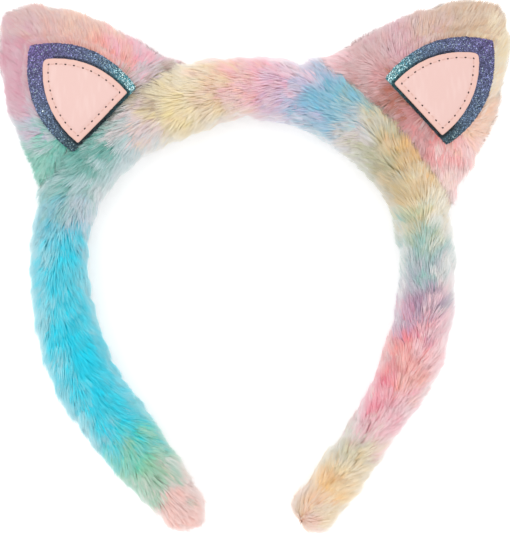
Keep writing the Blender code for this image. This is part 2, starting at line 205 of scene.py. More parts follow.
BAND_SPLASHES = splashes_of(
    ("salmon", -26, -100, 8), ("salmon", -24, -92, 6), ("salmon", -33, -94, 4),
    ("blush", -34, -88, 4), ("mint", -43, -84, 5), ("sage", -40, -79, 6),
    ("mint", -43, -72, 8), ("cyan", -53, -58, 10), ("cyan", -60, -46, 9),
    ("cyan", -66, -34, 9), ("cyan", -70, -22, 9), ("cyan", -72, -9, 9),
    ("cyan", -73, 4, 8), ("aqua", -87, 6, 10), ("aqua", -86, -8, 10),
    ("aqua", -84, -22, 7), ("aqua", -82, -38, 5), ("aqua", -73, -54, 7),
    ("aqua", -64, -66, 7), ("aqua", -62, -4, 4), ("aqua", -58, -22, 4),
    ("aqua", -46, -46, 4), ("sky", -75, 17, 6), ("teal", -73, 26, 6),
    ("frost", -66, 29, 6), ("lilac", -66, 22, 5), ("frost", -59, 28, 6),
    ("frost", -84, 36, 5), ("teal", -78, 39, 7), ("jade", -71, 39, 9),
    ("teal", -60, 46, 6), ("jade", -64, 48, 9), ("teal", -63, 38, 6),
    ("frost", -52, 48, 5), ("frost", -53, 38, 7), ("blush", -53, 57, 4),
    ("blush", -46, 55, 6), ("cream", -38, 69, 7), ("lemon", -34, 63, 6),
    ("cream", -27, 57, 7), ("cream", -25, 72, 7), ("tan", -17, 67, 6),
    # the olive splash and the russet one at (-43, 68) are painted shade in the crease beside the left ear
    ("olive", -43, 68, 6), ("shade_russet", -43, 68, 3), ("peach", -10, 70, 8),
    ("cream", -14, 58, 8), ("pink", 1, 72, 8), ("blush", -1, 64, 6),
    ("mauve", 9, 68, 8), ("lilac", 14, 60, 7), ("blush", 8, 79, 5),
    ("blush", 18, 80, 6), ("lilac", 18, 70, 6), ("lilac", 28, 78, 5),
    ("sky", 38, 70, 6), ("sky", 29, 60, 6), ("sky", 26, 65, 7),
    ("sky", 34, 66, 8), ("sky", 28, 57, 7), ("moss", 43, 66, 4),
    ("cream", 42, 60, 6), ("blush", 36, 51, 6), ("tan", 52, 53, 7),
    ("sage", 47, 45, 6), ("olive", 50, 37, 7), ("apricot", 62, 46, 7),
    ("tan", 58, 36, 7), ("cream", 71, 32, 7), ("tan", 59, 27, 6),
    ("cream", 70, 25, 6), ("sage", 62, 19, 5), ("moss", 61, 14, 4),
    ("teal", 66, 9, 5), ("teal", 67, 3, 4), ("steel", 67, -3, 5),
    ("plum", 67, -11, 6), ("plum", 63, -16, 4), ("mist", 52, 10, 5),
    ("mist", 51, -1, 5), ("mist", 51, -11, 4), ("steel", 59, -2, 3),
    ("plum", 60, -14, 4), ("mist", 75, 17, 6), ("mist", 77, 6, 6),
    ("mist", 77, -5, 6), ("blush", 76, -15, 6), ("mauve", 56, -20, 5),
    ("rose", 64, -21, 4), ("rose", 55, -29, 5), ("blush", 69, -27, 7),
    ("blush", 70, -35, 8), ("coral", 50, -36, 8), ("coral", 59, -34, 6),
    ("peach", 59, -41, 6), ("rose", 43, -47, 8), ("pink", 50, -51, 7),
    ("blush", 59, -54, 7), ("pink", 40, -59, 6), ("blush", 49, -64, 7),
    ("sage", 36, -68, 7), ("cream", 37, -76, 7), ("cream", 40, -84, 6),
    ("apricot", 29, -84, 8), ("cream", 34, -92, 7), ("peach", 21, -95, 6),
    ("salmon", 20, -100, 4), ("cream", 29, -97, 7),
)
EAR_SPLASHES = splashes_of(
    # Painted shade: the dusk splashes at (-76, 91) and (-64, 88) beside the film, the olive one at (-46, 67)
    # and the russet ones by the creases
    ("petal", -94, 84, 8), ("shell", -85, 97, 8), ("dusk", -76, 91, 4),
    ("dusk", -64, 88, 5), ("peach", -72, 98, 8), ("peach", -59, 91, 7),
    ("coral", -57, 87, 3), ("pink", -47, 84, 6), ("frost", -43, 77, 4),
    ("shade_russet", -40, 73, 3), ("petal", -94, 70, 8), ("petal", -91, 61, 7),
    ("lilac", -87, 53, 6), ("mint", -83, 46, 7), ("teal", -74, 43, 7),
    ("jade", -63, 49, 6), ("olive", -46, 67, 6), ("blush", 32, 82, 6),
    ("dusk", 42, 79, 7), ("shell", 48, 85, 6), ("petal", 57, 89, 6),
    ("shell", 66, 95, 7), ("fawn", 76, 99, 8), ("fawn", 88, 99, 7),
    ("cream", 97, 88, 8), ("cream", 97, 76, 8), ("peach", 92, 64, 8),
    ("peach", 88, 54, 7), ("blush", 81, 44, 6), ("blush", 79, 36, 6),
    ("cream", 79, 36, 4), ("coral", 71, 46, 5), ("shade_russet", 52, 67, 4),
    ("dusk", 62, 56, 5), ("dusk", 68, 50, 4),
)


def light_values(colour):
    """Light values of a colour from 0 to 255, by the standard curve of screens."""
    share = np.array(colour, float) / 255
    return np.where(share <= 0.04045, share / 12.92, ((share + 0.055) / 1.055) ** 2.4)


def dye_at(places, splashes):
    """The dye at each place, as light values. Places are in metres, and only their X and Y count."""
    total = np.zeros((len(places), 1))
    mixed = np.zeros((len(places), 3))
    for splash in splashes:
        away = np.hypot(places[:, 0] * 1000 - splash.x, places[:, 1] * 1000 - splash.y)
        share = np.exp(-((away / splash.reach) ** BLUR))[:, None] + FAR_SHARE / (1 + away[:, None])
        total += share
        mixed += share * light_values(DYES[splash.dye])
    return mixed / total


print("dyes:", len(DYES), "splashes:", len(BAND_SPLASHES) + len(EAR_SPLASHES))

# %% [markdown]
# ## The line of the hoop
#
# Fur is sewn so that it lies in one direction. To comb it, each point of the band has to know which way
# the hoop runs there. The line could be drawn again by hand, but then it would drift from the solid. It
# is measured from the band itself: thin wedges around a point inside the hoop, and the middle of what
# lies in each wedge.

# %% Measure the hoop
WEDGE_CENTRE = Vector((-0.004, -0.015))
WEDGES = 90
LINE_SMOOTHING = 6


def points_of(mesh):
    made = np.empty(len(mesh.vertices) * 3, np.float32)
    mesh.vertices.foreach_get("co", made)
    return made.reshape(-1, 3).astype(float)


def hoop_line():
    """Points along the middle of the band, from its left tip over the crown to its right tip."""
    band = points_of(nodes["band"].data)
    turn = np.arctan2(-(band[:, 0] - WEDGE_CENTRE.x), -(band[:, 1] - WEDGE_CENTRE.y)) % (2 * np.pi)
    edges = np.linspace(turn.min(), turn.max(), WEDGES + 1)
    middles = []
    for low, high in zip(edges, edges[1:]):
        inside = band[(turn >= low) & (turn <= high)]
        if len(inside):
            middles.append((inside.min(0) + inside.max(0)) / 2)
    line = np.array(middles)[:, :2]
    for _ in range(LINE_SMOOTHING):
        line[1:-1] = (line[:-2] + 2 * line[1:-1] + line[2:]) / 4
    return line


LINE = hoop_line()
ALONG = np.gradient(LINE, axis=0)
ALONG /= np.linalg.norm(ALONG, axis=1)[:, None]


def nearest_on_line(places):
    return np.argmin(((places[:, None, :2] - LINE[None]) ** 2).sum(2), axis=1)


line_length = np.linalg.norm(np.diff(LINE, axis=0), axis=1).sum()
print("hoop line:", len(LINE), "points,", round(1000 * line_length), "mm long")

# %% [markdown]
# ## The padded bodies under the fur
#
# Beneath the fibres lies the plush backing, stretched over foam. Sculpting it anew would risk another
# outline, so each body starts as a copy of its solid. A remesh melts the coarse locks into one even
# skin, a smooth modifier rounds it, and then the skin moves inwards by the depth of the pile, so that
# the tips of the fibres come out at the outline of the solid. Under a patch the fur is pressed flat,
# and the skin stays close to the patch.

# %% Helpers for copies and modifiers
MERGE_WITHIN = 0.00001


def only(obj):
    bpy.ops.object.select_all(action="DESELECT")
    obj.select_set(True)
    bpy.context.view_layer.objects.active = obj


def copy_of(node, name):
    """A copy of a solid as a free object, with its loose triangles merged."""
    made = bpy.data.objects.new(name, nodes[node].data.copy())
    bpy.context.scene.collection.objects.link(made)
    made.data.name = name
    made.data.materials.clear()
    only(made)
    bpy.ops.mesh.customdata_custom_splitnormals_clear()
    bpy.ops.object.mode_set(mode="EDIT")
    bpy.ops.mesh.select_all(action="SELECT")
    bpy.ops.mesh.remove_doubles(threshold=MERGE_WITHIN)
    bpy.ops.object.mode_set(mode="OBJECT")
    return made


def apply_modifier(obj, kind, **settings):
    only(obj)
    made = obj.modifiers.new(kind.lower(), kind)
    for name, value in settings.items():
        setattr(made, name, value)
    bpy.ops.object.modifier_apply(modifier=made.name)


def smooth(obj, rounds):
    apply_modifier(obj, "SMOOTH", factor=0.5, iterations=rounds)


def remeshed(node, name, voxel, rounds):
    """A copy of a solid with an even skin, smoothed a number of times."""
    made = copy_of(node, name)
    apply_modifier(made, "REMESH", mode="VOXEL", voxel_size=voxel)
    smooth(made, rounds)
    return made


def normals_of(mesh):
    made = np.empty(len(mesh.vertices) * 3, np.float32)
    mesh.vertex_normals.foreach_get("vector", made)
    return made.reshape(-1, 3).astype(float)


def set_points(mesh, points):
    mesh.vertices.foreach_set("co", points.astype(np.float32).ravel())
    mesh.update()


def dyed(obj, colours):
    """Stores one colour for each point of a piece."""
    full = np.concatenate([np.clip(colours, 0, 1), np.ones((len(colours), 1))], 1)
    layer = obj.data.color_attributes.new("dye", "FLOAT_COLOR", "POINT")
    layer.data.foreach_set("color", full.astype(np.float32).ravel())


# %% Outline of a patch seen from above
def outline_of(node):
    """The corners of a patch seen from above, anticlockwise.

    Its outline bulges everywhere, so the hull of its points is its true outline.
    """
    points = sorted(set(map(tuple, np.round(points_of(nodes[node].data)[:, :2], 6))))
    halves = []
    for run in (points, points[::-1]):
        half = []
        for p in run:
            while len(half) > 1 and turns_right(half[-2], half[-1], p):
                half.pop()
            half.append(p)
        halves += half[:-1]
    return np.array(halves)


def turns_right(a, b, c):
    return (b[0] - a[0]) * (c[1] - a[1]) - (b[1] - a[1]) * (c[0] - a[0]) <= 0


def outside(outline, places):
    """How far each place lies outside the outline, seen from above. It is under 0 inside."""
    after = np.roll(outline, -1, axis=0)
    edge = after - outline
    away = np.stack([edge[:, 1], -edge[:, 0]], 1) / np.linalg.norm(edge, axis=1)[:, None]
    past = (places[:, None, :2] - outline[None]) * away[None]
    return past.sum(2).max(1)


SIDES = ("left", "right")
OUTLINES = {side: outline_of("glitter_patch_" + side) for side in SIDES}
PANEL_OUTLINES = {side: outline_of("inner_panel_" + side) for side in SIDES}
print("corners of the glitter outlines:", [len(o) for o in OUTLINES.values()])

# %% The padded bodies
SKIN_VOXEL = 0.0016
SKIN_SMOOTHING = 10
LAST_SMOOTHING = 3
# How deep the skin lies under the tips of the fibres, in the open and under a patch
PILE = 0.0028
PRESSED_PILE = 0.0004
# A patch presses from inside its outline to a little outside it, where the skin faces up
PRESSED_FROM = -0.0010
PRESSED_TO = 0.0014
FACES_UP = 0.4
# Near the seam of ear and band the pile is this share as deep
JOINED_FROM = 0.0004
JOINED_WITHIN = 0.0060
JOINED_PILE = 0.25
# Most that the skin moves in, as a share of the body, and the deepest place inside
MOST_OF_THICKNESS = 0.38
DEEPEST = 0.012
RAY_START = 0.0002

Padded = namedtuple("Padded", "body outer neighbours")


def smooth_share(low, high, value):
    share = np.clip((value - low) / (high - low), 0, 1)
    return share * share * (3 - 2 * share)


def tree_of(mesh):
    return BVHTree.FromPolygons([v.co for v in mesh.vertices], [tuple(p.vertices) for p in mesh.polygons])


BAND_TREE = tree_of(nodes["band"].data)
EAR_TREES = {side: tree_of(nodes["ear_" + side].data) for side in SIDES}


def pressed(places, normals, outline):
    """1 where a patch presses the fur flat, 0 where the fur stands free."""
    near = 1 - smooth_share(PRESSED_FROM, PRESSED_TO, outside(outline, places))
    return near * smooth_share(0.0, FACES_UP, normals[:, 2])


def outside_of(tree, places):
    """How far each place lies outside the closed surface of the tree. It is under 0 inside.

    At a sharp edge the nearest face can tell the wrong side, so only a near place counts as inside.
    """
    made = np.empty(len(places))
    for i, place in enumerate(places):
        spot, normal, _, away = tree.find_nearest(place)
        within = away < DEEPEST and (Vector(place) - spot).dot(normal) < 0
        made[i] = -away if within else away
    return made


def joined(places, trees):
    """1 where an ear and the band meet, falling to 0 a little way off."""
    away = np.min([outside_of(tree, places) for tree in trees], axis=0)
    return 1 - smooth_share(JOINED_FROM, JOINED_WITHIN, away)


def thickness(tree, places, normals):
    """How far it is through the body to its other side, from each place inwards."""
    made = np.full(len(places), 1.0)
    for i, (place, normal) in enumerate(zip(places, normals)):
        hit = tree.ray_cast(Vector(place - normal * RAY_START), Vector(-normal))[3]
        if hit is not None:
            made[i] = hit
    return made


def padded_body(node, name, neighbours, outline=None):
    """The backing of the fur: an even skin that lies under the solid's surface by the depth of the pile."""
    made = remeshed(node, name, SKIN_VOXEL, SKIN_SMOOTHING)
    places, normals = points_of(made.data), normals_of(made.data)
    outer = tree_of(made.data)
    depth = np.minimum(PILE, MOST_OF_THICKNESS * thickness(outer, places, normals))
    if outline is not None:
        flat = pressed(places, normals, outline)
        depth += (np.minimum(PRESSED_PILE, depth) - depth) * flat
    depth *= 1 - (1 - JOINED_PILE) * joined(places, neighbours)
    set_points(made.data, places - normals * depth[:, None])
    smooth(made, LAST_SMOOTHING)
    bpy.ops.object.shade_smooth()
    print(name, len(made.data.vertices), "points")
    return Padded(made, outer, neighbours)


band_padded = padded_body("band", "band_padding", list(EAR_TREES.values()))
ears_padded = {
    side: padded_body("ear_" + side, "ear_padding_" + side, [BAND_TREE], OUTLINES[side]) for side in SIDES
}

# %% [markdown]
# ## Fibres
#
# Hair could be grown with particles or with hair curves, but those are lost when the object leaves
# Blender. Here each fibre is real: a thin ribbon of five points that bends once and ends in a tip.
# Many thousand ribbons are joined in one mesh, all made at once from arrays. What makes it look like
# plush is not the single fibre but how fibres gather: tips lean together in small tufts, tufts lean
# together in larger ones, and the dye is painted more saturated between them, as light bouncing there
# would show it, and pale at the tips.

# %% Soft noise and directions
WAVES = 6
# The sum of the waves is divided by this
WAVE_SUM = 2.2


def unit(vectors):
    return vectors / np.maximum(np.linalg.norm(vectors, axis=1), 1e-12)[:, None]


def wave_noise(places, size, seed):
    """Soft noise from about -1 to 1 that changes over the given size in metres."""
    dice = np.random.default_rng(seed)
    total = np.zeros(len(places))
    for _ in range(WAVES):
        way = dice.normal(size=3)
        way *= 2 * np.pi / size * dice.uniform(0.6, 1.4) / np.linalg.norm(way)
        total += np.sin(places @ way + dice.uniform(0, 2 * np.pi))
    return total / WAVE_SUM


def turned(vectors, axes, angles):
    """Vectors turned about the axes at right angles to them."""
    return vectors * np.cos(angles)[:, None] + np.cross(axes, vectors) * np.sin(angles)[:, None]


def flat_on(vectors, normals):
    return unit(vectors - normals * (vectors * normals).sum(1)[:, None])


# %% Combing
FAN = 0.50
RIDGE_WIDTH = 0.007
# Close to the right tip the fur is pressed down
TIP_REACH = 0.008
TIP_PRESSED = 0.35
# The ear's fur starts to turn upwards this far below the patch's middle
UPFLOW_FROM = -0.020


def from_right_tip(places):
    return np.linalg.norm(places[:, :2] - LINE[-1], axis=1)


def comb_band(places, normals):
    """The fur lies towards the left tip all the way and fans out from the band's ridge."""
    nearest = nearest_on_line(places)
    along = np.zeros((len(places), 3))
    along[:, :2] = ALONG[nearest]
    outwards = np.stack([-along[:, 1], along[:, 0]], 1)
    aside = ((places[:, :2] - LINE[nearest]) * outwards).sum(1)
    around = np.cross(normals, along) * np.clip(aside / RIDGE_WIDTH, -1, 1)[:, None]
    return flat_on(FAN * around - along, normals)


def comb_ear(side):
    """The fur of an ear lies away from its patch and also, from the hem upwards, towards the ear's point."""
    ear = points_of(nodes["ear_" + side].data)
    point = ear[np.argmax(np.hypot(ear[:, 0], ear[:, 1]))][:2]
    middle = OUTLINES[side].mean(0)
    up = (point - middle) / np.linalg.norm(point - middle)

    def comb(places, normals):
        rise = (places[:, :2] - middle) @ up
        flow = np.zeros((len(places), 3))
        flow[:, :2] = unit(places[:, :2] - middle)
        flow[:, :2] += up * smooth_share(UPFLOW_FROM, 0.0, rise)[:, None]
        return flat_on(flow, normals)

    return comb


# %% One field of fibres
FIBRE_LENGTH = 0.0066
EAR_FIBRE_LENGTH = 0.0060
FIBRE_WIDTH = 0.00024
WIDTH_VARIES = (0.7, 1.3)
BEND_WIDTH = 0.85
ROOT_LIFT = math.radians(42)
TIP_LIFT = math.radians(13)
ROLL = 0.25
TUFT = 0.0013
BIG_TUFT = 0.0050
FLOOR_CLEARANCE = 0.0002

# How far fibres differ: in waves over the plush, and one by one
SWIRL_SIZE = 0.022
CURL_SIZE = 0.007
TURN_JITTER = 0.10
LENGTH_WAVE = 0.16
LENGTH_WAVE_SIZE = 0.008
LENGTH_JITTER = 0.10
LIFT_WAVE = 0.22
LIFT_WAVE_SIZE = 0.009
LIFT_JITTER = 0.12
PRESSED_SHORTER = 0.35
PRESSED_FLATTER = 0.75

# How far tips stand over the solid: most, strays, and those beside a seam
FLUFF = 0.0007
STRAY = 0.0008
JOINED_FLUFF = 0.0030
SHORTEST = 0.2

# How much fibres are shaded like the plush as a whole, and how far up that shading turns
SOFTNESS = 0.7
UPWARDS = 0.6
FACING_FROM = -0.7
FACING_TO = 0.1

Tuft = namedtuple("Tuft", "size mid_pull tip_pull")
Coat = namedtuple("Coat", "length swirl curl tufts")
BAND_COAT = Coat(
    length=FIBRE_LENGTH, swirl=0.24, curl=0.14,
    tufts=(Tuft(BIG_TUFT, mid_pull=0.04, tip_pull=0.08), Tuft(TUFT, mid_pull=0.07, tip_pull=0.19)),
)
EAR_COAT = Coat(
    length=EAR_FIBRE_LENGTH, swirl=0.16, curl=0.16,
    tufts=(Tuft(BIG_TUFT, mid_pull=0.04, tip_pull=0.08), Tuft(TUFT, mid_pull=0.08, tip_pull=0.24)),
)

# %% How the dye sits in a fibre
# The dye is taken at the seen part of a fibre, this share of the way to its tip
SEEN_SHARE = 0.6
# How far the dye ran: in waves, from fibre to fibre, and from tuft to tuft
DRIFT = 0.0034
DRIFT_SIZE = 0.010
FIBRE_DRIFT = 0.0013
TUFT_DRIFT = 0.0024
# How unevenly fibres and tufts took the dye
FIBRE_DYE = 0.16
TUFT_DYE = 0.22
TUFT_MIX = 0.55
# Roots and backing are painted more saturated and a little lighter, because a grey gap looks dirty:
# painted light for the light that bounces between the fibres deep in the pile
SATURATION = 1.45
ROOT_LIGHT = 1.06
BACKING_LIGHT = 1.15
DARKEST = 0.01
# Tips are paler and strong dyes stay strong. At the edges of the body, where the skin faces sideways or
# down, roots and tips are painted paler still: painted light that lifts the shade there
PALEST = 0.98
PALE = 0.42
EDGE_PAINTED_LIGHT = 0.46
EDGE_FROM = 0.1
EDGE_TO = 0.95
STRONG_STAYS = 0.9
STRONG_EDGE_STAYS = 0.2
# From the deep dye to the pale one, at the root, the bend and the tip
ALONG_FIBRE = (0.0, 0.45, 1.0)

print("fibres are", 1000 * FIBRE_LENGTH, "mm long on the band and", 1000 * EAR_FIBRE_LENGTH, "mm on an ear")


# %% From places on the skin to fibres
def scatter(body, count, dice, density):
    """Places on the skin, with their normals. Density says how thickly each place is covered."""
    mesh = body.data
    mesh.calc_loop_triangles()
    corners = np.empty(len(mesh.loop_triangles) * 3, np.int32)
    mesh.loop_triangles.foreach_get("vertices", corners)
    corners = corners.reshape(-1, 3)
    places, normals = points_of(mesh), normals_of(mesh)
    a, b, c = (places[corners[:, k]] for k in range(3))
    area = np.linalg.norm(np.cross(b - a, c - a), axis=1) / 2
    weight = area * density(places, normals)[corners].mean(1)
    steps = np.cumsum(weight) / weight.sum()
    picks = np.searchsorted(steps, (np.arange(count) + dice.random(count)) / count)
    picks = np.minimum(picks, len(corners) - 1)
    u, v = dice.random(count), dice.random(count)
    over = u + v > 1
    u[over], v[over] = 1 - u[over], 1 - v[over]
    shares = np.stack([1 - u - v, u, v], 1)[:, :, None]
    chosen = corners[picks]
    return (places[chosen] * shares).sum(1), unit((normals[chosen] * shares).sum(1)), weight.sum()


def nearest_of(places, centres):
    tree = KDTree(len(centres))
    for i, place in enumerate(centres):
        tree.insert(place, i)
    tree.balance()
    return np.array([tree.find(place)[1] for place in places])


def make_fibres(name, padded, count, coat, comb, splashes, seed, density, press):
    """Fibres on a padded body, combed, gathered in tufts, cut back to the solid's outline and dyed."""
    dice = np.random.default_rng(seed)
    roots, normals, area = scatter(padded.body, count, dice, density)
    flat = press(roots, normals)
    way = comb(roots, normals)
    swirl = coat.swirl * wave_noise(roots, SWIRL_SIZE, seed + 1)
    swirl += coat.curl * wave_noise(roots, CURL_SIZE, seed + 2)
    way = turned(way, normals, swirl + dice.normal(0, TURN_JITTER, count))
    longer = LENGTH_WAVE * wave_noise(roots, LENGTH_WAVE_SIZE, seed + 3)
    length = coat.length * (1 + longer + dice.normal(0, LENGTH_JITTER, count))
    length *= 1 - PRESSED_SHORTER * flat
    lift = 1 + LIFT_WAVE * wave_noise(roots, LIFT_WAVE_SIZE, seed + 4) + dice.normal(0, LIFT_JITTER, count)
    at_tip = 1 - smooth_share(TIP_REACH, 2 * TIP_REACH, from_right_tip(roots))
    lift *= 1 - PRESSED_FLATTER * flat - TIP_PRESSED * at_tip
    half = (length / 2)[:, None]
    low, high = (lift * ROOT_LIFT)[:, None], (lift * TIP_LIFT)[:, None]
    mids = roots + half * (way * np.cos(low) + normals * np.sin(low))
    tips = mids + half * (way * np.cos(high) + normals * np.sin(high))
    depth = dice.normal(0, FIBRE_DYE, count)
    for tuft in coat.tufts:
        groups = max(int(area / tuft.size**2), 1)
        centres = dice.choice(count, groups, replace=False)
        mine = centres[nearest_of(roots, roots[centres])]
        mids += (mids[mine] - mids) * tuft.mid_pull
        tips += (tips[mine] - tips) * tuft.tip_pull
        depth += TUFT_DYE * dice.normal(0, 1, count)[mine]
    over = outside_of(padded.outer, tips) - FLUFF - dice.exponential(STRAY, count)
    over -= JOINED_FLUFF * joined(roots, padded.neighbours)
    kept = 1 - np.maximum(over, 0) / np.linalg.norm(tips - roots, axis=1)
    kept = np.clip(kept, SHORTEST, 1)[:, None]
    mids, tips = roots + (mids - roots) * kept, roots + (tips - roots) * kept
    seen = roots + SEEN_SHARE * (tips - roots)
    colours = colours_of(seen, normals, depth, splashes, seed, dice, mine)
    return fibre_mesh(name, roots, mids, tips, normals, colours, dice)


def between_fibres(dye, light):
    """The dye painted deep between the fibres: more saturated and times the given light, for light that has
    met it many times.
    """
    grey = dye.mean(1)[:, None]
    return np.clip(light * (grey + (dye - grey) * SATURATION), DARKEST, 1)


def colours_of(places, normals, depth, splashes, seed, dice, mine):
    """The dye at the root, the bend and the tip of each fibre.

    Depth says how deeply its tuft took the dye, and mine names the fibre in the middle of its tuft.
    """
    drift = np.stack([wave_noise(places, DRIFT_SIZE, seed + 5), wave_noise(places, DRIFT_SIZE, seed + 6)], 1)
    own = dice.normal(0, FIBRE_DRIFT, drift.shape)
    shared = dice.normal(0, TUFT_DRIFT, drift.shape)[mine]
    moved = places.copy()
    moved[:, :2] += DRIFT * drift + own + shared
    dye = dye_at(moved, splashes)
    deep = between_fibres(dye, ROOT_LIGHT)
    strength = (1 - dye.min(1) / dye.max(1))[:, None]
    # Painted light: paler where the skin faces sideways or down
    edge = EDGE_PAINTED_LIGHT * (1 - smooth_share(EDGE_FROM, EDGE_TO, normals[:, 2]))[:, None]
    paler = PALE * (1 - STRONG_STAYS * strength) + edge * (1 - STRONG_EDGE_STAYS * strength)
    pale = dye + (PALEST - dye) * paler
    deep = deep + (pale - deep) * edge
    made = []
    for share in ALONG_FIBRE:
        mix = np.clip(share + TUFT_MIX * depth, 0, 1)[:, None]
        made.append(deep + (pale - deep) * mix)
    return made


def fibre_mesh(name, roots, mids, tips, normals, colours, dice):
    """Ribbons of one quad and one triangle each, joined in one mesh."""
    count = len(roots)
    for points in (roots, mids, tips):
        points[:, 2] = np.maximum(points[:, 2], FLOOR_CLEARANCE)
    way = unit(tips - roots)
    upwards = smooth_share(FACING_FROM, FACING_TO, normals[:, 2])
    facing = unit(normals + np.outer(upwards, (0.0, 0.0, UPWARDS)))
    side = turned(unit(np.cross(way, facing)), way, dice.normal(0, ROLL, count))
    side *= FIBRE_WIDTH / 2 * dice.uniform(*WIDTH_VARIES, (count, 1))
    bend = BEND_WIDTH * side
    points = np.stack([roots - side, roots + side, mids + bend, mids - bend, tips], 1)
    corners = (np.arange(count) * 5)[:, None] + np.array([0, 1, 2, 3, 3, 2, 4])
    mesh = bpy.data.meshes.new(name)
    mesh.vertices.add(count * 5)
    mesh.vertices.foreach_set("co", points.astype(np.float32).ravel())
    mesh.loops.add(count * 7)
    mesh.loops.foreach_set("vertex_index", corners.astype(np.int32).ravel())
    mesh.polygons.add(count * 2)
    starts = (np.arange(count) * 7)[:, None] + np.array([0, 4])
    mesh.polygons.foreach_set("loop_start", starts.astype(np.int32).ravel())
    mesh.update(calc_edges=True)
    root, bend, tip = (np.concatenate([c, np.ones((count, 1))], 1) for c in colours)
    dye = mesh.color_attributes.new("dye", "FLOAT_COLOR", "POINT")
    dye.data.foreach_set("color", np.stack([root, root, bend, bend, tip], 1).astype(np.float32).ravel())
    add_fibre_map(mesh, count)
    mesh.shade_smooth()
    soften(mesh, facing)
    obj = bpy.data.objects.new(name, mesh)
    bpy.context.scene.collection.objects.link(obj)
    print(name, count, "fibres")
    return obj


def soften(mesh, facing):
    """Shades each ribbon mostly like the plush as a whole, because light spreads between real fibres."""
    own = normals_of(mesh)
    plush = np.repeat(facing, 5, axis=0)
    mesh.normals_split_custom_set_from_vertices(unit(own * (1 - SOFTNESS) + plush * SOFTNESS))


def add_fibre_map(mesh, count):
    """A UV map that gives each fibre a cell of its own, so that its dye can be stored in a picture later."""
    across = math.ceil(math.sqrt(count))
    cell = np.stack([np.arange(count) % across, np.arange(count) // across], 1)[:, None, :]
    shape = np.array([(0, 0), (1, 0), (1, 0.5), (0, 0.5), (0, 0.5), (1, 0.5), (0.5, 1)])
    places = (cell + 0.1 + 0.8 * shape[None]) / across
    layer = mesh.uv_layers.new(name="OFBake")
    layer.uv.foreach_set("vector", places.astype(np.float32).ravel())


# %% [markdown]
# The plush itself is matt, with a soft sheen where the light grazes the fibres. Its colour comes from
# the dye that each fibre carries from root to tip.

# %% The look of the plush
def dyed_material(name, roughness, specular, metallic=0.0):
    """A material that takes its colour from the dye stored in the points of a piece."""
    made = plain_material(name, WHITE, roughness)
    tree = made.node_tree
    shader = shader_of(made)
    dye = tree.nodes.new("ShaderNodeAttribute")
    dye.attribute_name = "dye"
    tree.links.new(dye.outputs["Color"], shader.inputs["Base Color"])
    shader.inputs["Metallic"].default_value = metallic
    shader.inputs["Specular IOR Level"].default_value = specular
    return made


def fur_material(name, roughness, sheen):
    made = dyed_material(name, roughness, specular=0.15)
    shader_of(made).inputs["Sheen Weight"].default_value = sheen
    shader_of(made).inputs["Sheen Roughness"].default_value = 0.5
    return made


fibre_finish = fur_material("plush_fibres", roughness=0.8, sheen=0.22)
backing_finish = fur_material("plush_backing", roughness=0.95, sheen=0.1)
print("finishes:", fibre_finish.name, "and", backing_finish.name)

# %% Grow the fur
BAND_FIBRES = 56000
EAR_FIBRES = 40000
BAND_SEED = 11
EAR_SEED = 31
# A fibre whose tip lies deeper than this in the next piece isn't grown
HIDDEN = 0.0035
# Cover of the back, and what the front has more
BACK_COVER = 0.55
MORE_IN_FRONT = 0.45
BACK_FROM = -0.8
PRESS_REACH = 0.003
EAR_PRESS = 0.6
# Fibres stop this far under a patch, where the skin faces it
UNDER_PATCH = -0.0002
FACES_PATCH = 0.2
Stretch = namedtuple("Stretch", "name start end")
STRETCHES = (Stretch("left", 0.0, 0.36), Stretch("crown", 0.36, 0.66), Stretch("right", 0.66, 1.01))


def dye_body(body, splashes):
    # The backing is painted saturated and lighter: painted light in the gaps of the pile
    dyed(body, between_fibres(dye_at(points_of(body.data), splashes), BACKING_LIGHT))
    body.data.materials.append(backing_finish)


def free_fur(places, normals):
    return np.zeros(len(places))


def ear_fur_pressed(outline):
    def press(places, normals):
        near = 1 - smooth_share(0.0, PRESS_REACH, outside(outline, places))
        return EAR_PRESS * near * smooth_share(0.0, FACES_UP, normals[:, 2])

    return press


def cover_by_side(normals):
    return BACK_COVER + MORE_IN_FRONT * smooth_share(BACK_FROM, 0.0, normals[:, 2])


def band_density(low, high):
    """Full cover on one stretch of the hoop's line, less on its back, and none inside an ear."""

    def density(places, normals):
        nearest = nearest_on_line(places) / (len(LINE) - 1)
        cover = ((nearest >= low) & (nearest < high)).astype(float)
        cover *= cover_by_side(normals)
        tips = places + normals * PILE
        for tree in EAR_TREES.values():
            cover *= outside_of(tree, tips) > -HIDDEN
        return cover

    return density


def ear_density(side):
    """Full cover on the front of an ear, less on its back, and none under its patch or inside the band."""

    def density(places, normals):
        cover = cover_by_side(normals)
        under = (outside(OUTLINES[side], places) < UNDER_PATCH) & (normals[:, 2] > FACES_PATCH)
        cover *= ~under
        cover *= outside_of(BAND_TREE, places + normals * PILE) > -HIDDEN
        return cover

    return density


dye_body(band_padded.body, BAND_SPLASHES)
fur = []
for stretch in STRETCHES:
    made = make_fibres(
        "band_fur_" + stretch.name, band_padded, BAND_FIBRES, BAND_COAT, comb_band, BAND_SPLASHES,
        BAND_SEED + len(fur), band_density(stretch.start, stretch.end), free_fur,
    )
    fur.append(made)
ear_fur = {}
for side, padded in ears_padded.items():
    dye_body(padded.body, EAR_SPLASHES + BAND_SPLASHES)
    ear_fur[side] = make_fibres(
        "ear_fur_" + side, padded, EAR_FIBRES, EAR_COAT, comb_ear(side), EAR_SPLASHES,
        EAR_SEED + len(ear_fur), ear_density(side), ear_fur_pressed(OUTLINES[side]),
    )
for piece in fur + list(ear_fur.values()):
    piece.data.materials.append(fibre_finish)

